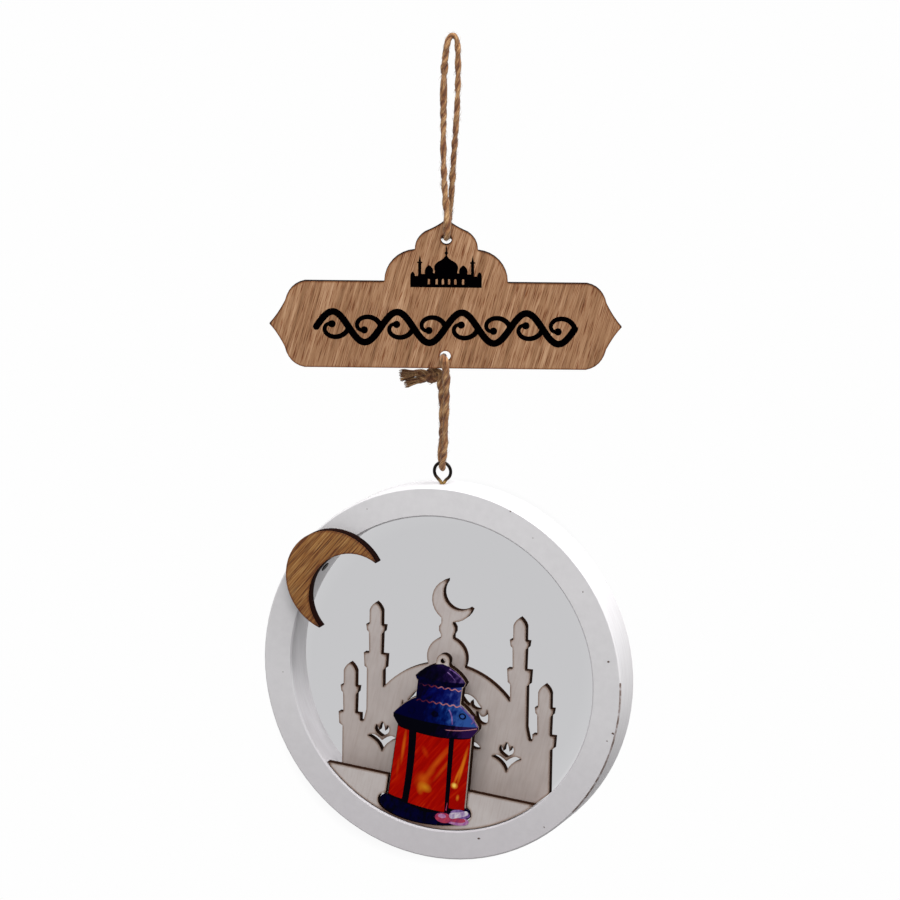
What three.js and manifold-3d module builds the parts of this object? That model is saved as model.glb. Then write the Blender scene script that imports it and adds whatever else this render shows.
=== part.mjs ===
// Hanging ornament: a twine loop, a cut sign board and a deep round frame with laser-cut panels in it.
// Millimetres. The origin is the inside top of the twine loop, +Z is up, and the round frame faces -Y.
import * as THREE from 'three';
import { mergeVertices } from 'three/addons/utils/BufferGeometryUtils.js';
import Module from 'manifold-3d';

// Hanging
const loopDrop = 77.3; // hanging point down to the middle of the sign's top hole
const dropLength = 45.8; // sign's bottom hole down to the middle of the screw eye
const signTurn = 20.97; // degrees that the sign stands turned to the round frame
const signTilt = 0.3; // degrees that the sign hangs out of level
const signShift = 0.15; // sign's top hole, right of the plumb line
const frameShift = 3.1; // middle of the round frame, right of the plumb line

// Twine
const twineDiameter = 2.2;
const knotWidth = 5.2;
const knotHeight = 5.8;
const frayLength = 4;
const frayDiameter = 4.4;

// Sign board
const signSheet = 3;
const holeDiameter = 4.3;
const holeBelowTip = 7.8;
const holeAboveEdge = 4.7;
const barHeight = 33.8;
const barHalf = 54.5; // half the length of the bar's straight edges
const bracketLength = 13.65; // how far each pointed end stands out from the bar
const shoulderRadius = 12.5; // quarter-round lobes beside the crown
const shoulderMiddle = 11.4; // their centres, from the middle of the board
const crownHalf = 12.2;
const crownHeight = 12.1; // from the top of the shoulders to the tip

// Round frame
const ringRadius = 75;
const ringFace = 11.7; // width of the front face
const ringDepth = 15.5;
const ringBevel = 0.6;

// Screw eye
const eyeDiameter = 8;
const eyeWire = 1.3;
const eyeHeight = 4.9; // middle of the eye above the round frame
const shankDiameter = 1.8;
const shankLength = 8;
const threadPitch = 1;
const threadDepth = 0.2;

// Panels in the frame
const panelSheet = 3;
const seatGap = 0.3; // glue film between two pieces
const panelPlay = 0.4; // between a panel's round edge and the frame
const frontInset = 0.7; // lantern and ground, flush with each other, behind the frame's front face
const panelGap = 3.6; // free space between them and the rear panel
const footRise = 13.3; // rear panel's foot above the frame's inner bottom
const groundStep = 5.1; // ground line above the rear panel's foot
const groundRoll = -4.8;
const notchPlay = 0.8; // gap that the ground plate's notch leaves at the lantern's left

// Lantern plate, from its foot line
const lanternShift = -5.4;
const lowPoint = 18.4; // left of the frame's middle, where the lantern's base comes nearest to the frame
const lowPointDrop = 3.85; // and how far that is below its foot line
const groundRim = 0.381; // what the ground plate has left there, under its notch
const lanternRoll = -6;
const lanternSkew = 0.05; // it is drawn slightly turned, so its level lines rise to the right
const bodyHalfTop = 15.75;
const bodyHalfFoot = 16.7;
const bodyHeight = 33.2;
const roofHalf = 18.1;
const neckHalf = 9.5;
const capHalf = 10.75;
const capHeight = 61;
const tabRadius = 2.8;
const tabHole = 2;
const baseHalf = 19.3;
const baseDepth = 6.7;
const baseShift = 0.4; // the base stands this far to the left of the body

// Building on the rear panel, heights from its foot
const domeRadius = 34.5;
const domeTop = 53;
const cupolaRadius = 8.3;
const cupolaHeight = 55.3;
const finialRadius = 8.7;
const finialShift = 2.2;
const finialHeight = 78.6;
const finialNeck = 2.6;
const towerX = 30.3;
const towerTip = 74.65;
const turretX = 41.1;
const turretTip = 48.9;
const shaftHalf = 2.6;
const wallHalf = 44;
const courtHeight = 25.5; // roof between the tower and its turret
const palmetteX = 25.8;
const palmetteHeight = 18.5;
const leftPalmetteX = -26.9; // the left one is cut higher and further out
const leftPalmetteHeight = 20.9;
const rosetteHeight = 28;
const rosetteShift = -0.5;

// Crescent on the frame
const crescentSheet = 5;
const crescentTurn = 140.3; // degrees to which its back points
const crescentReach = 16.9; // its foot line, inside the frame's inner edge
const crescentHalf = 20; // half-width of its outline
const crescentRise = 21.4; // half-length of the ellipse that its outline follows
const crescentBack = 29.9; // its back above the foot line
const hollowHalf = 18.3;
const hollowRise = 17.7;
const crescentBelly = 16.9; // its hollow above the foot line
const crescentLean = -1.1; // both ellipses, off the line from the frame's middle
const crescentBlunt = 1; // its tips are cut off this far above the foot line
const beadLength = 4.6;
const beadWidth = 1.3;
const beadTurn = 1.2; // degrees from the middle of the crescent's hollow

const radians = THREE.MathUtils.degToRad;
const degrees = THREE.MathUtils.radToDeg;
const wasm = await Module();
wasm.setup();

const signHeight = barHeight + shoulderRadius + crownHeight;
const holeSpacing = signHeight - holeBelowTip - holeAboveEdge;
const eyeZ = -loopDrop - holeSpacing - dropLength;
const ringZ = eyeZ - eyeHeight - ringRadius;
const ringInner = ringRadius - ringFace;
const panelRadius = ringInner - panelPlay;
const lowLevel = Math.sqrt((panelRadius - groundRim) ** 2 - lowPoint ** 2);
const lanternRise = ringInner - lowLevel + lowPointDrop; // foot line above the frame's inner bottom
const panelFoot = footRise - ringInner; // from the frame's middle
const groundLine = panelFoot + groundStep;
const ringFront = -ringDepth / 2;
const plateFront = ringFront + frontInset;
const buildingFront = plateFront + panelSheet + panelGap;

function paint(color, roughness, metalness = 0) {
  return new THREE.MeshStandardMaterial({ color, roughness, metalness });
}

const finish = {
  twine: paint(0xa07850, 0.95),
  signPlywood: paint(0xa07a5c, 0.65),
  ringPaint: paint(0xe9e6e8, 0.55),
  panelPaint: paint(0xcfc6c1, 0.6),
  print: paint(0x2b3a8c, 0.45),
  crescentStain: paint(0x82582f, 0.6),
  steel: paint(0x4a4744, 0.35, 1),
  glue: paint(0x6e6a68, 0.25),
};

// Joining and cutting

function solid(geometry) {
  const bare = geometry.clone();
  bare.deleteAttribute('normal');
  bare.deleteAttribute('uv');
  const merged = mergeVertices(bare, 1e-4);
  return new wasm.Manifold(new wasm.Mesh({
    numProp: 3,
    vertProperties: new Float32Array(merged.attributes.position.array),
    triVerts: new Uint32Array(merged.index.array),
  }));
}

function geometryOf(body) {
  const mesh = body.getMesh();
  const geometry = new THREE.BufferGeometry();
  geometry.setAttribute('position', new THREE.BufferAttribute(new Float32Array(mesh.vertProperties), 3));
  geometry.setIndex(new THREE.BufferAttribute(new Uint32Array(mesh.triVerts), 1));
  geometry.computeVertexNormals();
  return geometry;
}

function fused(...geometries) {
  return geometryOf(geometries.map(solid).reduce((body, next) => body.add(next)));
}

function cut(geometry, ...tools) {
  return geometryOf(tools.map(solid).reduce((body, tool) => body.subtract(tool), solid(geometry)));
}

function piece(name, geometry, material) {
  const mesh = new THREE.Mesh(geometry, material);
  mesh.name = name;
  return mesh;
}

// Outlines, drawn in X and Z

function points(...pairs) {
  return pairs.map(([x, z]) => new THREE.Vector2(x, z));
}

function arc(x, z, radiusX, radiusZ, from, to, steps) {
  return Array.from({ length: steps + 1 }, (_, i) => {
    const angle = radians(from + ((to - from) * i) / steps);
    return new THREE.Vector2(x + radiusX * Math.cos(angle), z + radiusZ * Math.sin(angle));
  });
}

function bow(from, bend, to, steps = 6) {
  return new THREE.QuadraticBezierCurve(...points(from, bend, to)).getPoints(steps);
}

// Completes an outline that runs down its right-hand side from the middle to the middle
function mirrored(half) {
  const left = half.filter((p) => p.x > 1e-6).map((p) => new THREE.Vector2(-p.x, p.y));
  return [...half, ...left.reverse()];
}

function placed(outline, x, z, turn = 0) {
  const middle = new THREE.Vector2();
  return outline.map((p) => p.clone().rotateAround(middle, radians(turn)).add(new THREE.Vector2(x, z)));
}

// A plate in X and Z whose front stands at y = front, with its back one sheet behind
function plate(outline, front, sheet, holes = []) {
  const anticlockwise = THREE.ShapeUtils.isClockWise(outline) ? [...outline].reverse() : outline;
  const shape = new THREE.Shape(anticlockwise);
  shape.holes = holes.map((hole) => new THREE.Path(hole));
  const geometry = new THREE.ExtrudeGeometry(shape, { depth: sheet, bevelEnabled: false });
  geometry.rotateX(Math.PI / 2);
  geometry.translate(0, front + sheet, 0);
  return geometry;
}

// Twine

// Each step of a tube is one point of its route, so that tight bends can have more of them
class Route extends THREE.CatmullRomCurve3 {
  getUtoTmapping(u) {
    return u;
  }
}

function tube(route, diameter) {
  const section = new THREE.Shape().absarc(0, 0, diameter / 2, 0, 2 * Math.PI);
  const extrudePath = new Route(route.map((p) => new THREE.Vector3(...p)));
  return new THREE.ExtrudeGeometry(section, {
    extrudePath, steps: route.length - 1, curveSegments: 4, bevelEnabled: false,
  });
}

// Routes in the sign's plane: x to the right, y away from the viewer, z up. They end inside their knots.
const upperKnotPlace = [0.1, 5.0, -75.3];
const upperLoopRoute = [
  upperKnotPlace, [0.5, 3.4, -76.4], [0.4, 2.4, -76.8], [0.3, 1.4, -76.85],
  [0.25, -0.2, -76.75], [0.25, -1.4, -76.65], [0.27, -2.45, -76.1], [0.3, -2.95, -75.0], [0.35, -3.0, -72.5],
  [0.3, -2.9, -69.0], [-0.1, -2.3, -64.5], [-0.8, -1.9, -58.0], [-1.3, -1.3, -49.5], [-1.6, -0.6, -40.5],
  [-1.7, -0.2, -31.0], [-1.8, 0, -22.0], [-1.7, 0, -13.5], [-1.3, 0, -6.5], [-0.75, 0, -2.5],
  [0.0, 0, 0.0], [1.3, 0, 1.1], [2.6, 0, 0.2], [3.2, 0, -2.4], [3.5, 0, -8.0],
  [3.6, 0, -16.0], [3.5, 0, -25.0], [3.1, 0.2, -34.0], [2.6, 0.7, -43.0], [2.2, 1.3, -51.0],
  [1.9, 1.9, -58.0], [1.6, 2.5, -64.0], [1.2, 2.95, -68.5], [0.7, 3.7, -71.5], upperKnotPlace,
];
const upperTailRoutes = {
  left: [upperKnotPlace, [-2.6, 4.9, -77.0], [-3.9, 4.6, -79.2], [-4.6, 4.3, -82.0], [-5.0, 4.2, -85.0]],
  right: [upperKnotPlace, [2.8, 4.9, -77.2], [4.0, 4.6, -79.6], [4.6, 4.3, -82.4], [4.8, 4.2, -84.6]],
};
const lowerKnotPlace = [-4.5, 4.7, -132.1];
const lowerLoopRoute = [
  lowerKnotPlace, [-3.9, 4.5, -129.0], [-3.1, 4.2, -126.8], [-1.7, 3.7, -125.0], [-0.5, 2.8, -124.2],
  [-0.3, 1.4, -123.95], [-0.25, -0.2, -123.95], [-0.2, -1.3, -123.95], [0.0, -2.5, -124.55],
  [0.3, -2.95, -125.8], [0.75, -3.0, -128.5], [0.95, -2.95, -134.0], [1.1, -2.8, -140.5],
  [0.95, -2.7, -147.0], [0.8, -2.6, -153.5], [0.8, -2.5, -159.5], [0.2, -2.3, -163.8],
  [-0.1, -1.9, -166.3], [-0.15, -0.8, -167.45], [-0.1, 0.8, -167.45], [-0.3, 1.9, -166.3],
  [-0.7, 2.3, -163.8], [-0.5, 2.5, -157.5], [-0.4, 2.7, -151.0], [-0.55, 2.9, -144.5],
  [-0.8, 3.2, -138.5], [-1.0, 3.5, -134.5], [-1.1, 3.8, -131.8], [-1.9, 4.2, -130.5], lowerKnotPlace,
];
const lowerTailRoutes = {
  long: [
    lowerKnotPlace, [-7.8, 4.5, -130.9], [-10.5, 4.3, -131.0], [-13.5, 4.2, -131.4], [-16.6, 4.3, -132.0],
  ],
  short: [lowerKnotPlace, [-7.5, 4.9, -133.4], [-10.2, 4.8, -133.9], [-14.9, 4.7, -135.0]],
};

// A knot is a rounded lump, here with an allowance all round for what is cut by it
function knot(place, allowance = 0) {
  const profile = arc(0, 0, 0.5, 0.5, -90, 90, 10);
  profile[0].x = 0;
  profile[10].x = 0;
  const geometry = new THREE.LatheGeometry(profile, 16);
  geometry.rotateX(Math.PI / 2);
  geometry.scale(knotWidth + 2 * allowance, knotWidth + 2 * allowance, knotHeight + 2 * allowance);
  geometry.translate(...place);
  return geometry;
}

function twineFrom(place, route) {
  return cut(tube(route, twineDiameter), knot(place, seatGap));
}

// The long tail has come undone at its end into a tuft
function frayedTail() {
  const [x, y, z] = lowerTailRoutes.long.at(-1);
  const tuft = new THREE.CylinderGeometry(frayDiameter / 2, twineDiameter / 2, frayLength, 8);
  tuft.rotateZ(Math.PI / 2);
  tuft.translate(x + frayLength / 4, y, z);
  return cut(fused(tube(lowerTailRoutes.long, twineDiameter), tuft), knot(lowerKnotPlace, seatGap));
}

// Sign board, drawn up and down from the middle of its top hole

function signOutline() {
  const top = holeBelowTip - crownHeight - shoulderRadius;
  const middle = top - barHeight / 2;
  const tip = barHalf + bracketLength;
  const bend = barHalf + bracketLength * 0.57;
  const round = barHalf + bracketLength * 0.45;
  const hollow = barHalf + bracketLength * 0.78;
  const bendRise = barHeight * 0.26;
  const upperEnd = [
    ...bow([barHalf, top], [round, top - barHeight * 0.035], [bend, middle + bendRise]),
    ...bow([bend, middle + bendRise], [hollow, middle + barHeight * 0.095], [tip, middle]).slice(1),
  ];
  const lowerEnd = upperEnd.slice(0, -1).reverse().map((p) => new THREE.Vector2(p.x, 2 * middle - p.y));
  const shoulder = top + shoulderRadius;
  const crownX = crownHalf * 0.68;
  const crownZ = shoulder + crownHeight * 0.58;
  const lobeStart = degrees(Math.acos((crownHalf - shoulderMiddle) / shoulderRadius));
  return mirrored([
    ...bow([0, holeBelowTip], [2.4, holeBelowTip - 2.6], [crownX, crownZ]),
    ...bow([crownX, crownZ], [crownHalf, shoulder + crownHeight * 0.36], [crownHalf, shoulder]).slice(1),
    ...arc(shoulderMiddle, top, shoulderRadius, shoulderRadius, lobeStart, 0, 8).slice(1),
    ...upperEnd,
    ...lowerEnd,
  ]);
}

function signBoard() {
  const holes = [0, -holeSpacing].map((z) => arc(0, z, holeDiameter / 2, holeDiameter / 2, 0, 345, 23));
  return plate(signOutline(), -signSheet / 2, signSheet, holes);
}

// Screw eye, from the middle of its eye: the wire goes round and closes against its own shank

function eyeWireRoute(radius) {
  const foot = -radius / Math.cos(radians(40));
  const freeEnd = [eyeWire / 2 + shankDiameter / 2 - 0.3, 0, foot + 0.75];
  const round = arc(0, 0, radius, radius, -50, 230, 14).map((p) => [p.x, 0, p.y]);
  return [freeEnd, ...round, [-0.55, 0, foot + 0.4], [0, 0, foot - 0.7], [0, 0, foot - 1.4]];
}

function shank() {
  const crest = shankDiameter / 2;
  const root = crest - threadDepth;
  const top = -eyeHeight + 0.4;
  const foot = -eyeHeight - shankLength;
  const turns = Math.floor((shankLength - 2) / threadPitch);
  const thread = Array.from({ length: turns }, (_, i) => {
    const z = foot + 1.6 + i * threadPitch;
    return [[root, z], [crest, z + threadPitch * 0.35], [root, z + threadPitch * 0.7]];
  }).flat();
  const profile = points(
    [0, foot], [root, foot + 1.5], ...thread, [root, top - 0.6], [root * 0.9, top], [0, top]);
  return new THREE.LatheGeometry(profile, 12).rotateX(Math.PI / 2);
}

function screwEye() {
  const radius = (eyeDiameter - eyeWire) / 2;
  return fused(shank(), tube(eyeWireRoute(radius), eyeWire));
}

// Round frame, from its middle

function ringFrame() {
  const half = ringDepth / 2;
  const profile = points(
    [ringInner + ringBevel, -half], [ringRadius - ringBevel, -half], [ringRadius, -half + ringBevel],
    [ringRadius, half - ringBevel], [ringRadius - ringBevel, half], [ringInner + ringBevel, half],
    [ringInner, half - ringBevel], [ringInner, -half + ringBevel], [ringInner + ringBevel, -half]);
  const ring = new THREE.LatheGeometry(profile, 96);
  const pilotRadius = shankDiameter / 2 + seatGap;
  const pilotDepth = shankLength + seatGap;
  const pilot = new THREE.CylinderGeometry(pilotRadius, pilotRadius, 2 * pilotDepth, 16);
  pilot.rotateX(Math.PI / 2);
  pilot.translate(-frameShift, 0, Math.sqrt(ringRadius ** 2 - frameShift ** 2));
  return cut(ring, pilot);
}

// Ground plate: the slice of the round below the ground line, rolled a little, with a notch for the lantern

function groundPlate() {
  const side = degrees(Math.acos(-groundLine / panelRadius));
  const slice = arc(0, 0, panelRadius, panelRadius, -90 - side + groundRoll, -90 + side + groundRoll, 40);
  const notches = [-notchPlay, seatGap].flatMap((x) => [-seatGap, seatGap].map((z) => (
    plate(lanternOutline(), plateFront - 1, panelSheet + 2).translate(x, 0, z))));
  return cut(plate(slice, plateFront, panelSheet), ...notches);
}

// Rear panel

// One side of a tower from its foot up; a balcony without a foot stands on the roof below it
function towerSide(x, side, tip, balconies) {
  const steps = balconies.flatMap(({ top, foot, half, below }) => {
    const shelf = [[x + side * half, top], [x + side * shaftHalf, top]];
    const bracket = [[x + side * below, foot - 0.8], [x + side * (half - 0.35), foot]];
    return foot === undefined ? shelf : [...bracket, ...shelf];
  });
  const spire = bow([x + side * shaftHalf, tip - 3.4], [x + side * shaftHalf * 0.8, tip - 1.5], [x, tip], 3);
  return [...points(...steps), ...spire];
}

function tower(x, tip, inner, outer) {
  return [...towerSide(x, -1, tip, inner), ...towerSide(x, 1, tip, outer).reverse().slice(1)];
}

function buildingOutline() {
  const domeMiddle = domeTop - domeRadius;
  const neckZ = cupolaHeight + Math.sqrt(cupolaRadius ** 2 - finialNeck ** 2);
  const towerFoot = 3.5;
  const towerInner = [
    { top: towerTip - 20.95, foot: towerTip - 26.4, half: 4.9, below: towerFoot },
    { top: towerTip - 9.25, foot: towerTip - 11.7, half: 4, below: shaftHalf + 0.2 },
  ];
  const turretUpper = { top: turretTip - 9.6, foot: turretTip - 11.9, half: 3.9, below: shaftHalf + 0.2 };
  const balconyHalf = 4.65;
  const balcony = { top: turretTip - 20.6, half: balconyHalf };
  const turretInner = [balcony, turretUpper];
  const turretOuter = [{ ...balcony, foot: turretTip - 25.4, below: wallHalf - turretX }, turretUpper];
  const cupolaStart = degrees(Math.acos(finialNeck / cupolaRadius));
  const domeStart = degrees(Math.acos((0.93 * cupolaRadius) / domeRadius));
  const domeEnd = degrees(Math.acos((towerX - towerFoot) / domeRadius));
  const wallFoot = -degrees(Math.acos(wallHalf / panelRadius));
  const footEnd = degrees(Math.asin(panelFoot / panelRadius));
  const towerEdge = towerX + towerFoot;
  return mirrored([
    ...points([2.45, neckZ + 9.2], [2.45, neckZ + 6], [3.4, neckZ + 4.6], [3.4, neckZ + 2.8]),
    ...points([finialNeck, neckZ + 1.4]),
    ...arc(0, cupolaHeight, cupolaRadius, cupolaRadius, cupolaStart, -21, 10),
    ...arc(0, domeMiddle, domeRadius, domeRadius, domeStart, domeEnd, 10),
    ...tower(towerX, towerTip, towerInner, towerInner),
    ...points([towerEdge, courtHeight + 5.1], [towerEdge + 1.2, courtHeight]),
    ...points([turretX - balconyHalf, courtHeight]),
    ...tower(turretX, turretTip, turretInner, turretOuter),
    ...arc(0, -panelFoot, panelRadius, panelRadius, wallFoot, footEnd, 3),
  ]);
}

function leafHole(x, z, length, width, turn) {
  const upper = bow([-length / 2, 0], [0, width], [length / 2, 0]);
  const lower = bow([length / 2, 0], [0, -width], [-length / 2, 0]);
  return placed([...upper.slice(0, -1), ...lower.slice(0, -1)], x, z, turn);
}

// Palmette: two drooping leaves that meet in a point, and a three-lobed bud over them
function palmetteHoles(x, z) {
  const leaves = mirrored([
    ...bow([0, -2.4], [2.6, -0.2], [4.1, -0.2], 4),
    ...bow([6.4, -1], [1.2, -2.6], [0, -7.2]),
  ]);
  const bud = mirrored([
    ...bow([0, 5.4], [1, 4.2], [1.25, 1.6], 3),
    ...bow([2.3, 4.1], [4.7, 1.3], [0, -0.9]),
  ]);
  return [placed(leaves, x, z), placed(bud, x, z)];
}

// Rosette: a lobed leaf, a hooked leaf and a plain one on each side of a six-petalled flower
function rosetteHoles() {
  const lobed = [
    ...bow([5.4, 12.4], [9.6, 14.9], [13, 11.6]),
    ...bow([13.6, 10.8], [14.3, 9.6], [15.8, 8.2], 3),
    ...bow([13.6, 7.7], [12, 7.9], [11.4, 8.8], 3),
    ...points([11.1, 10.9]),
    ...bow([10.3, 8.8], [8.6, 9.6], [7.4, 11.6], 4),
  ];
  const hooked = [
    ...bow([13.3, 6.8], [13.4, 2], [16.3, 1.9]),
    ...bow([17.3, 2], [19.2, 3.4], [17.8, 8.2]),
    ...bow([17.8, 6.2], [17.2, 5], [16.2, 5], 4),
    ...bow([15.6, 5], [14.8, 5.4], [14.4, 6.9], 3),
  ];
  const right = [lobed, hooked, leafHole(12.7, -7.05, 6, 2.6, -20)];
  const wreath = right.flatMap((hole) => [hole, hole.map((p) => new THREE.Vector2(-p.x, p.y)).reverse()]);
  const flower = Array.from({ length: 6 }, (_, i) => {
    const turn = 30 + 60 * i;
    return leafHole(6.6 * Math.cos(radians(turn)), 6.6 * Math.sin(radians(turn)), 7, 2.6, turn);
  });
  return [...wreath, ...flower].map((hole) => placed(hole, rosetteShift, rosetteHeight));
}

function finialOutline() {
  const blade = arc(finialShift, finialHeight, finialRadius, finialRadius, 106, 340, 18);
  const hollowRadius = finialRadius - 1.9;
  const hollow = arc(finialShift + 2.9, finialHeight + 3.1, hollowRadius, hollowRadius, 308, 142, 14);
  return [...blade, ...hollow];
}

function mosquePanel() {
  const rightPalmette = palmetteHoles(palmetteX, palmetteHeight);
  const leftPalmette = palmetteHoles(leftPalmetteX, leftPalmetteHeight);
  const holes = [...rightPalmette, ...leftPalmette, ...rosetteHoles()];
  const building = plate(buildingOutline(), buildingFront, panelSheet, holes);
  const finial = plate(finialOutline(), buildingFront, panelSheet);
  return fused(building, finial).translate(0, 0, panelFoot);
}

// Lantern plate

function lanternOutline() {
  const tabZ = capHeight + 0.9;
  const half = [
    ...arc(0, tabZ, tabRadius, tabRadius, 90, -20, 6),
    ...bow([2.9, capHeight - 0.9], [7.6, capHeight - 2.6], [capHalf, capHeight - 6.7]),
    ...points([capHalf - 0.85, capHeight - 8.5], [neckHalf, capHeight - 8.8], [neckHalf, 45.6]),
    ...bow([neckHalf + 0.9, 45.2], [14.4, 42.8], [roofHalf, 37.6]),
    ...points([roofHalf - 0.1, 36.2], [roofHalf - 1.4, 34.4], [bodyHalfTop, bodyHeight]),
    ...points([bodyHalfFoot, 3.6]),
  ];
  half[0].x = 0;
  const body = mirrored(half);
  const base = mirrored([
    ...points([baseHalf - 1.9, 3.7], [baseHalf - 0.5, 2.7]),
    ...arc(0, 1.2, baseHalf, baseDepth, 0, -90, 10),
  ]).map((p) => new THREE.Vector2(p.x - baseShift, p.y));
  return inFrame([...body.slice(0, half.length), ...base, ...body.slice(half.length)]);
}

// From the lantern's own drawing to its place in the frame
function inFrame(outline) {
  const skewed = outline.map((p) => new THREE.Vector2(p.x, p.y + lanternSkew * p.x));
  return placed(skewed, lanternShift, lanternRise - ringInner, lanternRoll);
}

function lanternPlate() {
  const hole = inFrame(arc(0, capHeight + 0.9, tabHole / 2, tabHole / 2, 0, 330, 11));
  return plate(lanternOutline(), plateFront, panelSheet, [hole]);
}

// Crescent: two ellipses that nearly meet at its tips, glued on the frame's front

function crescentOutline() {
  const middle = crescentBack - crescentRise;
  const hollowMiddle = crescentBelly - hollowRise;
  const outer = degrees(Math.asin((crescentBlunt - middle) / crescentRise));
  const inner = degrees(Math.asin((crescentBlunt - hollowMiddle) / hollowRise));
  const outline = [
    ...arc(crescentLean, middle, crescentHalf, crescentRise, outer, 180 - outer, 32),
    ...arc(crescentLean, hollowMiddle, hollowHalf, hollowRise, 180 - inner, inner, 24),
  ];
  const reach = ringInner - crescentReach;
  const turn = radians(crescentTurn);
  return placed(outline, reach * Math.cos(turn), reach * Math.sin(turn), crescentTurn - 90);
}

function crescent() {
  return plate(crescentOutline(), ringFront - seatGap - crescentSheet, crescentSheet);
}

// The glue that came out in the corner between the crescent's hollow and the frame's inner edge
function glueBead() {
  const hollow = ringInner - crescentReach + crescentBelly;
  const geometry = new THREE.SphereGeometry(0.5, 12, 8);
  geometry.scale(beadWidth, beadWidth, beadLength);
  geometry.translate(hollow - seatGap - beadWidth / 2, ringFront - beadWidth / 2, 0);
  geometry.rotateY(radians(-crescentTurn - beadTurn));
  return geometry;
}

// Assembly

const sign = new THREE.Group();
sign.position.set(signShift, 0, -loopDrop);
sign.rotation.y = radians(-signTilt);
sign.add(piece('sign_board', signBoard(), finish.signPlywood));

const eye = new THREE.Group();
eye.position.z = eyeZ;
eye.add(piece('screw_eye', screwEye(), finish.steel));

const signPlane = new THREE.Group();
signPlane.rotation.z = radians(signTurn);
signPlane.add(
  sign,
  eye,
  piece('upper_twine_loop', twineFrom(upperKnotPlace, upperLoopRoute), finish.twine),
  piece('upper_knot', knot(upperKnotPlace), finish.twine),
  piece('upper_knot_tail_left', twineFrom(upperKnotPlace, upperTailRoutes.left), finish.twine),
  piece('upper_knot_tail_right', twineFrom(upperKnotPlace, upperTailRoutes.right), finish.twine),
  piece('lower_twine_loop', twineFrom(lowerKnotPlace, lowerLoopRoute), finish.twine),
  piece('lower_knot', knot(lowerKnotPlace), finish.twine),
  piece('lower_knot_tail_long', frayedTail(), finish.twine),
  piece('lower_knot_tail_short', twineFrom(lowerKnotPlace, lowerTailRoutes.short), finish.twine),
);

const medallion = new THREE.Group();
medallion.position.set(frameShift, 0, ringZ);
medallion.add(
  piece('ring_frame', ringFrame(), finish.ringPaint),
  piece('ground_plate', groundPlate(), finish.panelPaint),
  piece('mosque_panel', mosquePanel(), finish.panelPaint),
  piece('lantern_plate', lanternPlate(), finish.print),
  piece('crescent', crescent(), finish.crescentStain),
  piece('crescent_glue_bead', glueBead(), finish.glue),
);

const ornament = new THREE.Group();
ornament.add(signPlane, medallion);

export default ornament;
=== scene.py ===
import math
import random

import bpy
from mathutils import Matrix, Vector, noise


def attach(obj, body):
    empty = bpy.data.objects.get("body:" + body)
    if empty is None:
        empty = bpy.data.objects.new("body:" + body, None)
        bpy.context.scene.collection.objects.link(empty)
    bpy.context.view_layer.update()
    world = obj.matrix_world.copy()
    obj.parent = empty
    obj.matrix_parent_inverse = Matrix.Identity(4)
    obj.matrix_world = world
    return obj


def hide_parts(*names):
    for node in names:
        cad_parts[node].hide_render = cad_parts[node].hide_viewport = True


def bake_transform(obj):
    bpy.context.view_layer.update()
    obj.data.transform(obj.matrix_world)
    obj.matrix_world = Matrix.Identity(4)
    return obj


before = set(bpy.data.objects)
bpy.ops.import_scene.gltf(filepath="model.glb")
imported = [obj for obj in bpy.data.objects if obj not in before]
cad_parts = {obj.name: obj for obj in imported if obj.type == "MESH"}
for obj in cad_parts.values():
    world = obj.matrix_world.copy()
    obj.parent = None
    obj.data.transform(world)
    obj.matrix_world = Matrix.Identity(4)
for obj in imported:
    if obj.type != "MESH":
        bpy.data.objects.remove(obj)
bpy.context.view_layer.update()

mm = 0.001

# Where the pieces are, as in the model: the sign hangs turned to the frame
signTurn = math.radians(20.97)
signTilt = math.radians(-0.3)
signHole = Vector((0.15, 0, -77.3))
signPlane = Matrix.Rotation(signTurn, 4, "Z")
signPlace = signPlane @ Matrix.Translation(signHole * mm) @ Matrix.Rotation(signTilt, 4, "Y")
eyeZ = -169.0
framePlace = Matrix.Translation(Vector((3.1, 0, -248.9)) * mm)
frameFacing = Vector((0, -1, 0))
signFacing = signPlane @ frameFacing


def activate(piece):
    bpy.ops.object.select_all(action="DESELECT")
    piece.select_set(True)
    bpy.context.view_layer.objects.active = piece
    return piece


def newPiece(name, data):
    piece = bpy.data.objects.new(name, data)
    bpy.context.scene.collection.objects.link(piece)
    return activate(piece)


def meshPiece(name, vertices, faces):
    mesh = bpy.data.meshes.new(name)
    mesh.from_pydata(vertices, [], faces)
    return newPiece(name, mesh)


def applied(piece, kind, **settings):
    activate(piece)
    modifier = piece.modifiers.new(kind.title(), kind)
    for key, value in settings.items():
        setattr(modifier, key, value)
    bpy.ops.object.modifier_apply(modifier=modifier.name)


def joined(pieces):
    activate(pieces[0])
    for piece in pieces:
        piece.select_set(True)
    bpy.ops.object.join()
    return bpy.context.object


def settled(piece, body, slot, *nodes):
    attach(piece, body)
    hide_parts(*nodes)


# Materials

def linear(code):
    channels = [int(code[i:i + 2], 16) / 255 for i in (1, 3, 5)]
    return [c / 12.92 if c <= 0.04045 else ((c + 0.055) / 1.055) ** 2.4 for c in channels] + [1.0]


def addNode(tree, kind, settings=None, links=None):
    node = tree.nodes.new("ShaderNode" + kind)
    for key, value in (settings or {}).items():
        if key == "stops":
            ramp = node.color_ramp.elements
            ramp.remove(ramp[1])
            ramp[0].position, ramp[0].color = value[0][0], linear(value[0][1])
            for place, colour in value[1:]:
                ramp.new(place).color = linear(colour)
        elif isinstance(key, int) or key in node.inputs:
            node.inputs[key].default_value = value
        else:
            setattr(node, key, value)
    for key, source in (links or {}).items():
        tree.links.new(source.outputs[0] if hasattr(source, "outputs") else source, node.inputs[key])
    return node


multiply = {"blend_type": "MULTIPLY", "Fac": 1.0}
screen = {"blend_type": "SCREEN", "Fac": 1.0}


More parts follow.
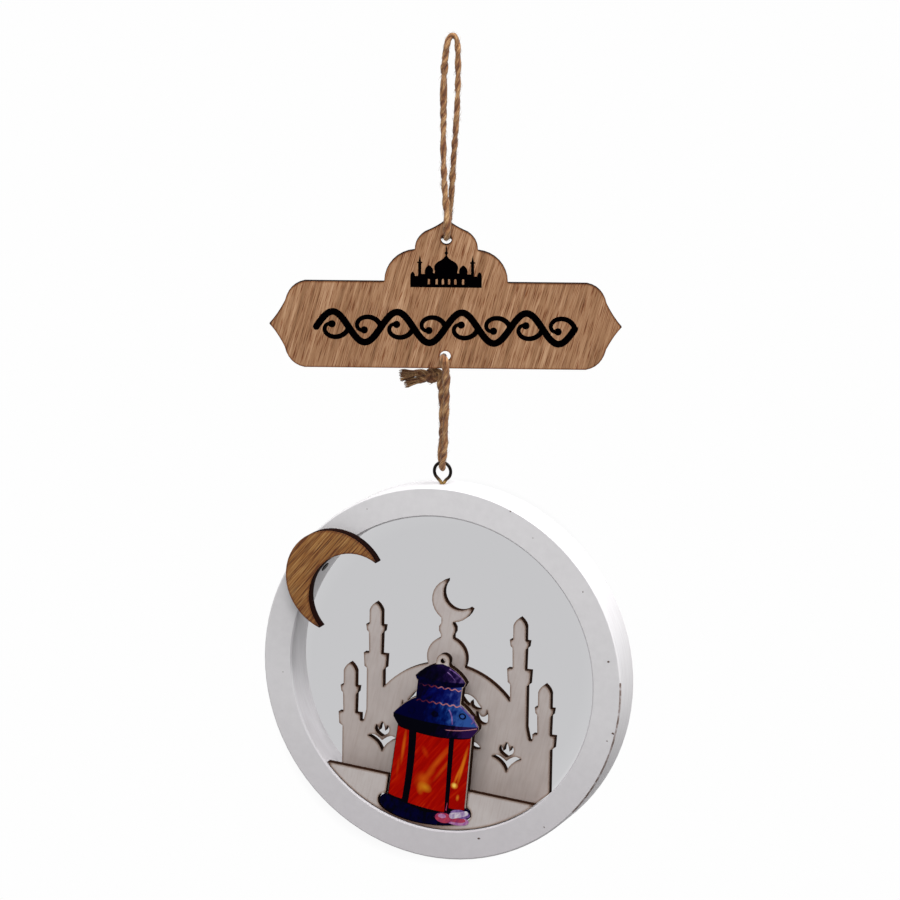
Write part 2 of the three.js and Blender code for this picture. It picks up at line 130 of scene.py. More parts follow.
def newMaterial(name, roughness, **sockets):
    material = bpy.data.materials.new(name)
    material.use_nodes = True
    shader = material.node_tree.nodes["Principled BSDF"]
    shader.inputs["Roughness"].default_value = roughness
    for key, value in sockets.items():
        shader.inputs[key.replace("_", " ")].default_value = value
    return material, material.node_tree


# A material's last step: colour, and relief with a depth in millimetres
def surfaced(material, colour, height, depth, strength):
    tree = material.node_tree
    shader = tree.nodes["Principled BSDF"]
    tree.links.new(colour.outputs[0], shader.inputs["Base Color"])
    relief = addNode(tree, "Bump", {"Distance": depth * mm, "Strength": strength}, {"Height": height})
    tree.links.new(relief.outputs[0], shader.inputs["Normal"])
    return material


# The piece's own coordinates, from a place, turned and scaled, in millimetres
def ownAxes(tree, place, turn, size):
    return addNode(tree, "Mapping", {
        "vector_type": "TEXTURE",
        "Location": Vector(place) * mm, "Rotation": turn, "Scale": Vector(size) * mm,
    }, {"Vector": addNode(tree, "TexCoord").outputs["Object"]})


# Mottling whose cells have real sizes in millimetres along the grain's own axes
def grain(tree, cell, turn=(0, 0, 0), detail=3, place=(0, 0, 0)):
    axes = ownAxes(tree, place, turn, cell)
    return addNode(tree, "TexNoise", {"Scale": 1.0, "Detail": detail}, {"Vector": axes})


rightwards = (0, 0, 0)
downwards = (0, math.pi / 2, 0)


# Rises from 0 at a place to 1 a reach further on
def slope(tree, place, way, reach):
    axes = ownAxes(tree, place, way, (reach, reach, reach))
    return addNode(tree, "TexGradient", {"gradient_type": "LINEAR"}, {"Vector": axes})


# A colour with another one laid over it, as a pattern runs
def toned(tree, colour, stops, pattern, mix=multiply):
    over = addNode(tree, "ValToRGB", {"stops": stops}, {"Fac": pattern})
    return addNode(tree, "MixRGB", mix, {"Color1": colour, "Color2": over})


# Smoke of the laser, by how near a cut edge is, felt from inside the sheet
def smoked(tree, colour, look):
    near = addNode(tree, "AmbientOcclusion", {
        "inside": True, "only_local": True, "samples": 8, "Distance": look["smokeReach"] * mm,
    })
    return toned(tree, colour, look["smokeStops"], near.outputs["AO"])


# Both veneers: pores and flecks are shifted, so that neither follows the bands
wood = {
    "specular": 0.25, "poreShift": (7, 3, 5), "fleckShift": (-9, 2, 11),
    "poreDepth": 0.06, "relief": 0.5,
}


# Plywood veneer: long open grain with dark pores and lighter flecks, slightly darkened beside the cuts
def veneer(name, look, turn):
    material, tree = newMaterial(name, look["roughness"], Specular_IOR_Level=wood["specular"])
    bands = grain(tree, look["bands"], turn)
    colour = addNode(tree, "ValToRGB", {"stops": look["colours"]}, {"Fac": bands})
    pores = grain(tree, look["pores"], turn, 2, wood["poreShift"])
    colour = toned(tree, colour, look["poreStops"], pores)
    flecks = grain(tree, look["flecks"], turn, 2, wood["fleckShift"])
    colour = toned(tree, colour, look["fleckStops"], flecks, screen)
    return surfaced(material, smoked(tree, colour, look), pores, wood["poreDepth"], wood["relief"])


charred = {
    "roughness": 0.9, "specular": 0.03, "plyLength": 40,
    "soot": (0.8, 0.8, 0.8), "sootShare": 0.45, "darkTo": 0.38,
    "lightFrom": 0.62, "sootDepth": 0.05, "relief": 0.6,
}


# The cut wall: charred plies of one thickness, dark, with lighter glue lines between them
def charredPlies(name, look, turn=(0, 0, 0)):
    dark, light, ply = look
    material, tree = newMaterial(name, charred["roughness"], Specular_IOR_Level=charred["specular"])
    layers = grain(tree, (charred["plyLength"], ply, charred["plyLength"]), turn, 1)
    soot = grain(tree, charred["soot"], turn)
    mixed = addNode(tree, "MixRGB", {"Fac": charred["sootShare"]}, {"Color1": layers, "Color2": soot})
    stops = [(charred["darkTo"], dark), (charred["lightFrom"], light)]
    colour = addNode(tree, "ValToRGB", {"stops": stops}, {"Fac": mixed})
    return surfaced(material, colour, soot, charred["sootDepth"], charred["relief"])


# Thin matt white paint on cut sheet: it goes brown beside the cuts and is uneven over the veneer; with shade
# stops, painted shade darkens it towards the foot
def paintedSheet(name, look, shadeStops=None):
    material, tree = newMaterial(name, look["roughness"])
    clouds = grain(tree, look["clouds"], detail=4)
    colour = addNode(tree, "ValToRGB", {"stops": look["colours"]}, {"Fac": clouds})
    veins = grain(tree, look["veins"], (0, math.radians(look["veinLean"]), 0))
    colour = toned(tree, colour, look["veinStops"], veins)
    # Painted shade, darker towards the foot of the sheet
    if shadeStops:
        lower = slope(tree, (0, 0, look["shadeFrom"]), downwards, look["shadeReach"])
        colour = toned(tree, colour, shadeStops, lower)
    return surfaced(material, smoked(tree, colour, look), veins, look["veinDepth"], look["relief"])


# Camera: a long lens from the right and a little above, rolled slightly

view = {
    "place": (567.9, -1473.7, 168.8), "forward": (-0.3504, 0.9141, -0.2041),
    "roll": 0.9, "lens": 165.63, "sensor": 36, "clip": (0.05, 50),
}


def addCamera():
    data = bpy.data.cameras.new("camera")
    data.lens = view["lens"]
    data.sensor_width = view["sensor"]
    data.clip_start, data.clip_end = view["clip"]
    camera = newPiece("camera", data)
    turned = Vector(view["forward"]).to_track_quat("-Z", "Y").to_matrix().to_4x4()
    rolled = turned @ Matrix.Rotation(math.radians(view["roll"]), 4, "Z")
    camera.matrix_world = Matrix.Translation(Vector(view["place"]) * mm) @ rolled
    bpy.context.scene.camera = camera


addCamera()
print("camera placed")

# Twine: two plies laid round each other, with loose hairs standing off it

twine = {
    "diameter": 2.2, "plyOffset": 0.29, "plyRadius": 0.81, "turnEvery": 14.5,
    "turnDrift": {"by": 1.6, "over": 11, "row": 7.7},
    "widthDrift": {"by": 0.22, "over": 4, "row": 3.1},
    "lumps": {"by": 0.12, "over": 1.2, "round": 3},
    "ringStep": 0.4, "sides": 24, "hairsPerMillimetre": 6,
    "hairLength": (1.0, 2.7), "hairThickness": (0.14, 0.03),
    "hairLean": (0.15, 0.75), "hairRoot": 0.65, "hairTwist": 0.2,
    "tail": {"width": 1.311, "row": 0.95, "overlap": 3},
    "knot": {
        "width": 1.012, "row": 0.92, "points": 60, "wide": 0.70, "high": 0.74, "deep": 1.15, "step": 0.25,
    },
}
fray = {
    "thickness": (0.34, 0.16), "root": 1.2, "reach": (0.75, 1.15),
    # each frayed fibre is darkened by a random share: tone that differs, and painted shade of the tails
    "shade": (0.0, 0.9),
}
juteLook = {
    "roughness": 0.9, "sheen": 0.15, "sheenRoughness": 0.6,
    "fibresPerMetre": 330, "fibresRound": 15, "fibreLean": 0.5,
    "fibres": [(0.32, "#50341C"), (0.44, "#8A623C"), (0.56, "#AE8456"), (0.68, "#D8B688")],
    "patchSize": (4.3, 4.3, 4.3),
    "patches": [(0.35, "#C9B29A"), (0.6, "#FFFFFF")],
    "grooveShade": [(0.25, "#FFFFFF"), (0.8, "#C6A484"), (1.0, "#9A7854")],
    "fibreDepth": 0.12, "relief": 0.8,
}


# Jute: hundreds of dry fibres that run along each ply, with painted shade that leaves it paler on its crown
# and brown in the groove
def juteTwine(name, look):
    material, tree = newMaterial(
        name, look["roughness"], Sheen_Weight=look["sheen"], Sheen_Roughness=look["sheenRoughness"])
    stretched = addNode(tree, "Mapping", {
        "Scale": (look["fibresPerMetre"], look["fibresRound"], 1), "Rotation": (0, 0, look["fibreLean"]),
    }, {"Vector": addNode(tree, "UVMap", {"uv_map": "lay"})})
    fibres = addNode(tree, "TexNoise", {"Scale": 1.0, "Detail": 4, "Roughness": 0.6}, {"Vector": stretched})
    colour = addNode(tree, "ValToRGB", {"stops": look["fibres"]}, {"Fac": fibres})
    colour = toned(tree, colour, look["patches"], grain(tree, look["patchSize"], detail=2))
    # Painted shade: darker towards the groove between the plies
    groove = addNode(tree, "Attribute", {"attribute_name": "groove"})
    colour = toned(tree, colour, look["grooveShade"], groove.outputs["Fac"])
    return surfaced(material, colour, fibres, look["fibreDepth"], look["relief"])


jute = juteTwine("jute twine, dry and hairy", juteLook)

# Routes in the sign's plane: right, away and up from the hanging point; both ends are inside the knot
upperKnotPlace = (0.1, 5.0, -75.3)
upperLoopRoute = [
    upperKnotPlace, (0.5, 3.4, -76.4), (0.4, 2.4, -76.8), (0.3, 1.4, -76.85),
    (0.25, -0.2, -76.75), (0.25, -1.4, -76.65), (0.27, -2.45, -76.1),
    (0.3, -2.95, -75.0), (0.35, -3.0, -72.5),
    (0.3, -2.9, -69.0), (-0.1, -2.3, -64.5), (-0.8, -1.9, -58.0), (-1.3, -1.3, -49.5), (-1.6, -0.6, -40.5),
    (-1.7, -0.2, -31.0), (-1.8, 0, -22.0), (-1.7, 0, -13.5), (-1.3, 0, -6.5), (-0.75, 0, -2.5),
    (0.0, 0, 0.0), (1.3, 0, 1.1), (2.6, 0, 0.2), (3.2, 0, -2.4), (3.5, 0, -8.0),
    (3.6, 0, -16.0), (3.5, 0, -25.0), (3.1, 0.2, -34.0), (2.6, 0.7, -43.0), (2.2, 1.3, -51.0),
    (1.9, 1.9, -58.0), (1.6, 2.5, -64.0), (1.2, 2.95, -68.5), (0.7, 3.7, -71.5), upperKnotPlace,
]
lowerKnotPlace = (-4.5, 4.7, -132.1)
lowerLoopRoute = [
    lowerKnotPlace, (-3.9, 4.5, -129.0), (-3.1, 4.2, -126.8), (-1.7, 3.7, -125.0), (-0.5, 2.8, -124.2),
    (-0.3, 1.4, -123.95), (-0.25, -0.2, -123.95), (-0.2, -1.3, -123.95), (0.0, -2.5, -124.55),
    (0.3, -2.95, -125.8), (0.75, -3.0, -128.5), (0.95, -2.95, -134.0), (1.1, -2.8, -140.5),
    (0.95, -2.7, -147.0), (0.8, -2.6, -153.5), (0.8, -2.5, -159.5), (0.2, -2.3, -163.8),
    (-0.1, -1.9, -166.3), (-0.15, -0.8, -167.45), (-0.1, 0.8, -167.45), (-0.3, 1.9, -166.3),
    (-0.7, 2.3, -163.8), (-0.5, 2.5, -157.5), (-0.4, 2.7, -151.0), (-0.55, 2.9, -144.5),
    (-0.8, 3.2, -138.5), (-1.0, 3.5, -134.5), (-1.1, 3.8, -131.8), (-1.9, 4.2, -130.5), lowerKnotPlace,
]
tailRoutes = {
    "upper_knot_tail_left": [
        upperKnotPlace, (-2.6, 4.9, -77.0), (-3.9, 4.6, -79.2), (-4.6, 4.3, -82.0), (-5.0, 4.2, -85.0),
    ],
    "upper_knot_tail_right": [
        upperKnotPlace, (2.8, 4.9, -77.2), (4.0, 4.6, -79.6), (4.6, 4.3, -82.4), (4.8, 4.2, -84.6),
    ],
    "lower_knot_tail_long": [
        lowerKnotPlace, (-7.8, 4.5, -130.9), (-10.5, 4.3, -131.0), (-13.5, 4.2, -131.4), (-16.6, 4.3, -132.0),
    ],
    "lower_knot_tail_short": [
        lowerKnotPlace, (-7.5, 4.9, -133.4), (-10.2, 4.8, -133.9), (-14.9, 4.7, -135.0),
    ],
}

# Each piece of twine has a seed. A loop is loose at some places: the side they are on and how far out that
# starts, their height and reach, and how much wider it is there.
upperTwine = {
    "body": "hanging_loop",
    "loop": {
        "name": "twineUpperLoop", "route": upperLoopRoute, "seed": 11, "width": 1.1,
        "loose": [("left", 0, -17, 13, 0.24), ("near", 1.2, -70, 9, 0.28)],
    },
    "knot": {"name": "twineUpperKnot", "node": "upper_knot", "place": upperKnotPlace, "seed": 12},
    "tails": [
        {"name": "twineUpperTailLeft", "node": "upper_knot_tail_left",
         "frayed": 8, "spread": 1.9, "fibres": 90, "seed": 13},
        {"name": "twineUpperTailRight", "node": "upper_knot_tail_right",
         "frayed": 8, "spread": 1.9, "fibres": 90, "seed": 14},
    ],
}
lowerTwine = {
    "body": "drop",
    "loop": {
        "name": "twineLowerLoop", "route": lowerLoopRoute, "seed": 21, "width": 1.16,
        "loose": [("near", 0, -127, 8, 0.38), ("far", 0, -134, 6, 0.4)],
    },
    "knot": {"name": "twineLowerKnot", "node": "lower_knot", "place": lowerKnotPlace, "seed": 22},
    "tails": [
        {"name": "twineLowerTailLong", "node": "lower_knot_tail_long",
         "frayed": 16, "spread": 2.5, "fibres": 190, "seed": 23},
        {"name": "twineLowerTailShort", "node": "lower_knot_tail_short",
         "frayed": 14, "spread": 2.1, "fibres": 150, "seed": 24},
    ],
}


def smoothCurve(name, points, resolution=12):
    curve = bpy.data.curves.new(name, "CURVE")
    curve.dimensions = "3D"
    curve.resolution_u = resolution
    spline = curve.splines.new("BEZIER")
    spline.bezier_points.add(len(points) - 1)
    for knot, point in zip(spline.bezier_points, points):
        knot.co = point
        knot.handle_left_type = knot.handle_right_type = "AUTO"
    return curve


def meshed(name, curve):
    newPiece(name, curve)
    bpy.ops.object.convert(target="MESH")
    return bpy.context.object


# Points a step apart along a smooth route
def smoothRoute(route, step):
    line = meshed("route", smoothCurve("route", [signPlane @ (Vector(point) * mm) for point in route], 24))
    fine = [vertex.co.copy() for vertex in line.data.vertices]
    bpy.data.objects.remove(line)
    walked = [fine[0]]
    left = step
    for a, b in zip(fine, fine[1:]):
        length = (b - a).length
        while left <= length:
            walked.append(a.lerp(b, left / length))
            left += step
        left -= length
    if (walked[-1] - fine[-1]).length > step / 2:
        walked.append(fine[-1])
    return walked


# A closed tube over rings of points: its walls, and then its two caps
def tubeFaces(first, rings, sides):
    faces = []
    for i in range(rings - 1):
        for j in range(sides):
            a, b = first + i * sides + j, first + i * sides + (j + 1) % sides
            faces.append((a, b, b + sides, a + sides))
    last = first + (rings - 1) * sides
    faces.append(tuple(first + j for j in reversed(range(sides))))
    faces.append(tuple(last + j for j in range(sides)))
    return faces


def strand(shape, points, thick, thin, shade=0.0):
    first, sides = len(shape["vertices"]), 3
    tangent = (points[-1] - points[0]).normalized()
    across = tangent.orthogonal().normalized()
    other = tangent.cross(across)
    place = random.random()
    for i, point in enumerate(points):
        radius = (thick + (thin - thick) * i / (len(points) - 1)) / 2 * mm
        for j in range(sides):
            angle = 2 * math.pi * j / sides
            shape["vertices"].append(point + (across * math.cos(angle) + other * math.sin(angle)) * radius)
            shape["groove"].append(shade)
    faces = tubeFaces(first, len(points), sides)
    shape["faces"].extend(faces)
    shape["lay"].extend([(place, place)] * len(face) for face in faces)


def drift(look, walked, row):
    return look["by"] * noise.noise(Vector((walked / look["over"], look["row"], row)))


# Two plies: each ring of points is turned on from the last one, so the plies wind round each other
def windPlies(line, widths, row):
    shape = {"vertices": [], "faces": [], "lay": [], "groove": []}
    sides, offset, ply, lumps = twine["sides"], twine["plyOffset"], twine["plyRadius"], twine["lumps"]
    groove = math.sqrt(ply ** 2 - offset ** 2)
    across = (line[1] - line[0]).orthogonal().normalized()
    walked = 0.0
    rings = []
    for i, point in enumerate(line):
        tangent = (line[min(i + 1, len(line) - 1)] - line[max(i - 1, 0)]).normalized()
        across = (across - tangent * across.dot(tangent)).normalized()
        other = tangent.cross(across)
        walked += (point - line[i - 1]).length / mm if i else 0
        turn = 2 * math.pi * walked / twine["turnEvery"] + drift(twine["turnDrift"], walked, row)
        width = widths[i] * (1 + drift(twine["widthDrift"], walked, row))
        for j in range(sides):
            angle = 2 * math.pi * j / sides
            crown = offset * abs(math.cos(angle)) + math.sqrt(ply ** 2 - (offset * math.sin(angle)) ** 2)
            x, y = lumps["round"] * math.cos(angle), lumps["round"] * math.sin(angle)
            uneven = lumps["by"] * noise.noise(Vector((walked / lumps["over"], x, y)))
            outward = across * math.cos(angle + turn) + other * math.sin(angle + turn)
            shape["vertices"].append(point + outward * (crown * width + uneven) * mm)
            shape["groove"].append((offset + ply - crown) / (offset + ply - groove))
        rings.append((point, tangent, across, other, width, walked))
    shape["faces"].extend(tubeFaces(0, len(line), sides))
    for low, high in zip(rings, rings[1:]):
        a, b = low[-1] * mm, high[-1] * mm
        for left, right in ((j / sides, (j + 1) / sides) for j in range(sides)):
            shape["lay"].append([(a, left), (a, right), (b, right), (b, left)])
    shape["lay"].extend([[(0.0, 0.0)] * sides] * 2)
    growHairs(shape, rings)
    return shape


def growHairs(shape, rings):
    length = rings[-1][-1]
    for _ in range(int(length * twine["hairsPerMillimetre"])):
        point, tangent, across, other, width, _ = random.choice(rings)
        angle = random.uniform(0, 2 * math.pi)
        outward = across * math.cos(angle) + other * math.sin(angle)
        along = tangent * random.choice((-1, 1))
        lean = random.uniform(*twine["hairLean"])
        reach = random.uniform(*twine["hairLength"]) * mm
        root = point + outward * twine["hairRoot"] * width * mm
        hair = []
        for t in (0, 0.35, 0.7, 1):
            bent = (along * t + outward * lean * t * (1.3 - 0.6 * t)) * reach
            hair.append(root + bent + along.cross(outward) * twine["hairTwist"] * t * t * reach)
        strand(shape, hair, *twine["hairThickness"])


# The end of a piece of twine comes undone: its fibres fan out
def frayEnd(shape, line, look):
    end, before = line[-1], line[-1 - look["frayed"]]
    tangent = (end - before).normalized()
    across = tangent.orthogonal().normalized()
    other = tangent.cross(across)
    length = (end - before).length
    for _ in range(look["fibres"]):
        angle = random.uniform(0, 2 * math.pi)
        out = math.sqrt(random.random())
        outward = across * math.cos(angle) + other * math.sin(angle)
        reach = random.uniform(*fray["reach"]) * length
        fibre = []
        for t in (0, 0.3, 0.6, 0.85, 1):
            fan = fray["root"] + (look["spread"] - fray["root"]) * t * t
            fibre.append(before + tangent * reach * t + outward * out * fan * mm)
        # Each fibre is darkened at random, partly as painted shade of the tails
        strand(shape, fibre, *fray["thickness"], random.uniform(*fray["shade"]))


def twinePiece(name, shape):
    piece = meshPiece(name, shape["vertices"], shape["faces"])
    mesh = piece.data
    lay = mesh.uv_layers.new(name="lay")
    places = [place for face in shape["lay"] for place in face]
    for corner, place in zip(lay.data, places):
        corner.uv = place
    groove = mesh.attributes.new("groove", "FLOAT", "POINT")
    groove.data.foreach_set("value", shape["groove"])
    activate(piece)
    bpy.ops.object.shade_smooth()
    mesh.materials.append(jute)
    return piece


# How wide a loop is at a point, in its route's own axes
def looseness(point, look):
    x, y, z = (signPlane.inverted() @ point) / mm
    out = {"left": -x, "near": -y, "far": y}
    width = look["width"]
    for side, start, height, reach, more in look["loose"]:
        if out[side] > start:
            width += more * math.exp(-((z - height) / reach) ** 2)
    return width


def twineLoop(look):
    random.seed(look["seed"])
    line = smoothRoute(look["route"], twine["ringStep"] * mm)
    widths = [looseness(point, look) for point in line]
    return twinePiece(look["name"], windPlies(line, widths, 1.0)), line


def twineTail(look):
    random.seed(look["seed"])
    tail = twine["tail"]
    line = smoothRoute(tailRoutes[look["node"]], twine["ringStep"] * mm)
    whole = line[:len(line) - look["frayed"] + tail["overlap"]]
    shape = windPlies(whole, [tail["width"]] * len(whole), tail["row"])
    frayEnd(shape, line, look)
    return twinePiece(look["name"], shape)


# An overhand knot, drawn tight
def twineKnot(look):
    random.seed(look["seed"])
    knot = twine["knot"]
    x, y, z = look["place"]
    route = []
    for i in range(knot["points"] + 1):
        angle = math.pi / 3 + 2 * math.pi * i / knot["points"]
        reach = 2 + math.cos(3 * angle)
        right, up = reach * math.cos(2 * angle) * knot["wide"], reach * math.sin(2 * angle) * knot["high"]
        route.append((x + right, y + knot["deep"] * math.sin(3 * angle), z + up))
    line = smoothRoute(route, knot["step"] * mm)
    return twinePiece(look["name"], windPlies(line, [knot["width"]] * len(line), knot["row"]))


# A loop, and its knot and cut ends, which ride on its body
def tiedTwine(look):
    loop, line = twineLoop(look["loop"])
    ends = [twineKnot(look["knot"])] + [twineTail(tail) for tail in look["tails"]]
    for piece, part in zip(ends, [look["knot"]] + look["tails"]):
        settled(piece, look["body"], "jute_twine", part["node"])
    return loop, line, ends


def hangingLoop():
    loop, line, ends = tiedTwine(upperTwine)
    settled(loop, "hanging_loop", "jute_twine", "upper_twine_loop")


def dropLoop():
    loop, line, ends = tiedTwine(lowerTwine)
    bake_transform(loop)
    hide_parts("lower_twine_loop")


hangingLoop()
dropLoop()

# Flat sheet pieces: the model's own shape, with its edges rounded a little and its walls charred

sheet = {
    "merge": 0.002, "flat": 0.5, "sharp": 35,
    "faceFrom": 0.9,  # from here on a face looks to the front or the back, and isn't wall
    "levelFrom": 0.999,
}


def sheetPiece(name, node, edge, *coats, facing=frameFacing):
    piece = newPiece(name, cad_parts[node].data.copy())
    piece.data.materials.clear()
    bpy.ops.object.mode_set(mode="EDIT")
    bpy.ops.mesh.select_all(action="SELECT")
    bpy.ops.mesh.remove_doubles(threshold=sheet["merge"] * mm)
    bpy.ops.mesh.dissolve_limited(angle_limit=math.radians(sheet["flat"]))
    bpy.ops.mesh.normals_make_consistent(inside=False)
    bpy.ops.object.mode_set(mode="OBJECT")
    if piece.data.has_custom_normals:
        bpy.ops.mesh.customdata_custom_splitnormals_clear()
    sharp = math.radians(sheet["sharp"])
    applied(piece, "BEVEL", width=edge * mm, segments=2, limit_method="ANGLE", angle_limit=sharp)
    for coat in coats:
        piece.data.materials.append(coat)
    for polygon in piece.data.polygons:
        polygon.material_index = 0 if abs(polygon.normal.dot(facing)) > sheet["faceFrom"] else 1
    activate(piece)
    bpy.ops.object.shade_smooth_by_angle(angle=sharp)
    for polygon in piece.data.polygons:
        polygon.use_smooth = abs(polygon.normal.dot(facing)) < sheet["levelFrom"]
    return piece


# Outlines of printed shapes, in millimetres

def arc(x, z, wide, high, start, end, steps):
    turned = [math.radians(start + (end - start) * i / steps) for i in range(steps + 1)]
    return [(x + wide * math.cos(a), z + high * math.sin(a)) for a in turned]


def bow(a, bend, b, steps=8):
    return [tuple((1 - t) ** 2 * p + 2 * t * (1 - t) * q + t * t * r for p, q, r in zip(a, bend, b))
            for t in (i / steps for i in range(steps + 1))]


# A stroke with round ends along a line of points
def stroke(points, width, tip=1.0):
    left, right, caps = [], [], []
    last = len(points) - 1
    for i, (x, z) in enumerate(points):
        (x0, z0), (x1, z1) = points[max(i - 1, 0)], points[min(i + 1, last)]
        length = math.hypot(x1 - x0, z1 - z0)
        half = width / 2 * (1 + (tip - 1) * i / last)
        dx, dz = -(z1 - z0) / length * half, (x1 - x0) / length * half
        left.append((x + dx, z + dz))
        right.append((x - dx, z - dz))
        if i in (0, last):
            heading = math.degrees(math.atan2(z1 - z0, x1 - x0))
            start = heading - 90 if i else heading + 90
            caps.append(arc(x, z, half, half, start, start + 180, 8))
    return left[1:-1] + caps[1][::-1] + right[1:-1][::-1] + caps[0][::-1]


filmThickness = 0.01


# A flat film of ink: a filled curve, stood up so that it faces the viewer's side of its plate
def film(name, outlines, place, lift, material):
    curve = bpy.data.curves.new(name, "CURVE")
    curve.dimensions = "2D"
    curve.fill_mode = "BOTH"
    curve.extrude = filmThickness * mm
    for outline in outlines:
        spline = curve.splines.new("POLY")
        spline.points.add(len(outline) - 1)
        for point, (x, z) in zip(spline.points, outline):
            point.co = (x * mm, z * mm, 0, 1)
        spline.use_cyclic_u = True
    piece = meshed(name, curve)
    upright = Matrix.Rotation(math.pi / 2, 4, "X")
    piece.data.transform(place @ Matrix.Translation((0, -lift * mm, 0)) @ upright)
    piece.data.materials.append(material)
    return piece


# Sign board

sign = {
    "edge": 0.25, "front": 1.51, "grainLean": 15,
    "wall": ("#070302", "#1E100A", 0.9),
    "ink": "#020102",
    "windows": {"places": (-6.6, -3.6, -1.2, 1.2, 3.6, 6.6), "foot": -17.6, "half": 0.42, "height": 2.1},
    "walnut": {
        "roughness": 0.7,
        "bands": (1.5, 1.5, 45),
        "colours": [(0.30, "#7C583A"), (0.45, "#966E4E"), (0.57, "#A67E5D"), (0.72, "#BE9877")],
        "pores": (0.30, 0.30, 8),
        "poreStops": [(0.28, "#664026"), (0.38, "#BA906C"), (0.48, "#FFFFFF")],
        "flecks": (0.45, 0.45, 5),
        "fleckStops": [(0.57, "#000000"), (0.76, "#463A32")],
        "smokeReach": 1.2,
        "smokeStops": [(0.46, "#34190A"), (0.64, "#D0B08A"), (0.86, "#FFFFFF")],
    },
}
skylineHalf = [
    (0, -2.3), (0.28, -3.4), (0.22, -4.6), (0.75, -5.3), (0.3, -6.0),
    *bow((0.3, -6.3), (0.9, -7.6), (2.7, -8.5)), *bow((2.7, -8.5), (5.4, -9.9), (4.3, -12.6)),
    (4.3, -13.2), (5.0, -13.2),
    *bow((5.0, -13.0), (4.7, -11.2), (6.6, -10.1)), *bow((6.6, -10.1), (8.5, -11.2), (8.2, -13.0)),
    (8.2, -13.6), (9.6, -13.6), (9.6, -9.4), (9.2, -9.4), (9.2, -8.8), (9.7, -8.8),
    (10.2, -6.2), (10.7, -8.8), (11.2, -8.8), (11.2, -9.4), (10.8, -9.4), (10.8, -14.4), (12.0, -14.4),
    *bow((12.0, -14.4), (12.1, -13.2), (12.9, -12.7)), *bow((12.9, -12.7), (13.7, -13.2), (13.8, -14.4)),
    (13.8, -18.8),
]
vine = {
    "middle": -34.6, "rise": 6.0, "length": 25, "waves": 4, "width": 2.7, "berry": 1.45,
    "curl": {"width": 2.1, "tip": 0.65, "turn": -1.45 * math.pi, "shrink": 4.9, "flat": 0.85, "steps": 30},
}


def archWindow(x, z, half, high):
    return [(x - half, z), (x + half, z)] + arc(x, z + high - half, half, half, 0, 180, 8)


# A running vine: one wave, with a curl and a berry in each of its bends
def vineOutlines():
    middle, rise, length = vine["middle"], vine["rise"], vine["length"]
    look, berry = vine["curl"], vine["berry"]
    reach = length * vine["waves"] / 2
    steps = vine["waves"] * 24
    wave = [(x, middle + rise * math.sin(2 * math.pi * x / length))
            for x in (-reach + 2 * reach * i / steps for i in range(steps + 1))]
    outlines = [stroke(wave, vine["width"])]
    for bend in range(vine["waves"] * 2):
        x = -reach + length / 2 * (bend + 0.5)
        up = 1 if math.sin(2 * math.pi * x / length) > 0 else -1
        curl = []
        for share in (i / look["steps"] for i in range(look["steps"] + 1)):
            turn, radius = look["turn"] * share, length / 4 - look["shrink"] * share
            curl.append((x + radius * math.cos(turn), middle + up * radius * look["flat"] * math.sin(turn)))
        outlines.append(stroke(curl, look["width"], look["tip"]))
        outlines.append(arc(*curl[-1], berry, berry, 0, 345, 23))
    return outlines


def signBoard():
    lean = (0, math.radians(sign["grainLean"]), signTurn)
    face = veneer("walnut veneer on plywood, waxed", sign["walnut"], lean)
    wall = charredPlies("laser-cut edge of the sign", sign["wall"], (0, 0, signTurn))
    board = sheetPiece("signBoard", "sign_board", sign["edge"], face, wall, facing=signFacing)
    black = linear(sign["ink"])
    ink = newMaterial("black screen ink, matt", 0.8, Base_Color=black, Specular_IOR_Level=0.0)[0]
    look = sign["windows"]
    mirrored = [(-x, z) for x, z in reversed(skylineHalf) if x > 0]
    skyline = [(skylineHalf + mirrored)[::-1]]
    skyline += [archWindow(x, look["foot"], look["half"], look["height"]) for x in look["places"]]
    prints = [film("skyline", skyline, signPlace, sign["front"], ink)]
    prints += [film("vine", [outline], signPlace, sign["front"], ink) for outline in vineOutlines()]
    settled(joined([board] + prints), "sign", "sign_plywood", "sign_board")
    print("sign board printed")


signBoard()

# Round frame

whiteFrame = {
    "edge": 0.3, "roughness": 0.55,
    # In the order of their slots: cells in millimetres and colours
    "coats": {
        "white emulsion on fibreboard": ((3, 3, 3), [(0.3, "#D9D7D9"), (0.7, "#DEDCDE")]),
        "white emulsion on the turned walls": ((12, 0.45, 12), [(0.3, "#DDDADC"), (0.6, "#E8E6E8")]),
        # the inner wall's coat is darker than the other walls': painted shade in the frame's hollow
        "white emulsion on the inner wall, darkened as painted shade": ((12, 0.45, 12), [(0.3, "#C8C5C8"), (0.6, "#D2D0D3")]),
        # the lower right edge of the front: painted shade of the bevel, with a brown tint of wear
        "emulsion worn thin on the edge": (
            (2.6, 2.6, 2.6), [(0.40, "#6E5C54"), (0.52, "#9C8E8A"), (0.62, "#C0BABC")]),
    },
    "overEdge": (0.3, 0.97), "coatDepth": 0.05, "relief": 0.4, "shadedEdgeFrom": -40, "shadedEdgeTo": 3,
    # painted shade: where it starts, how far down it runs, and how dark it gets
    "shadeFrom": -174, "shadeReach": 150,
    "bottomShade": [(0.55, "#FFFFFF"), (1.0, "#F2EFF1")],
    "bare": "#4A3325", "chipFront": 7.76, "chipCorners": 11,
    "chipWide": (0.4, 1.1), "chipHigh": (0.3, 0.7),
    "chips": [
        (28.3, 68.4, 0.5), (37.7, 58.8, 0.3), (58.6, 39.5, 0.4), (69.5, 12.9, 0.7), (72.2, -15.5, 0.8),
        (69.8, -18.7, 0.4), (-31.5, 63.7, 0.3), (17.6, -64.6, 0.8), (44.7, -56.5, 0.4), (-66.8, -6.1, 0.3),
    ],
}


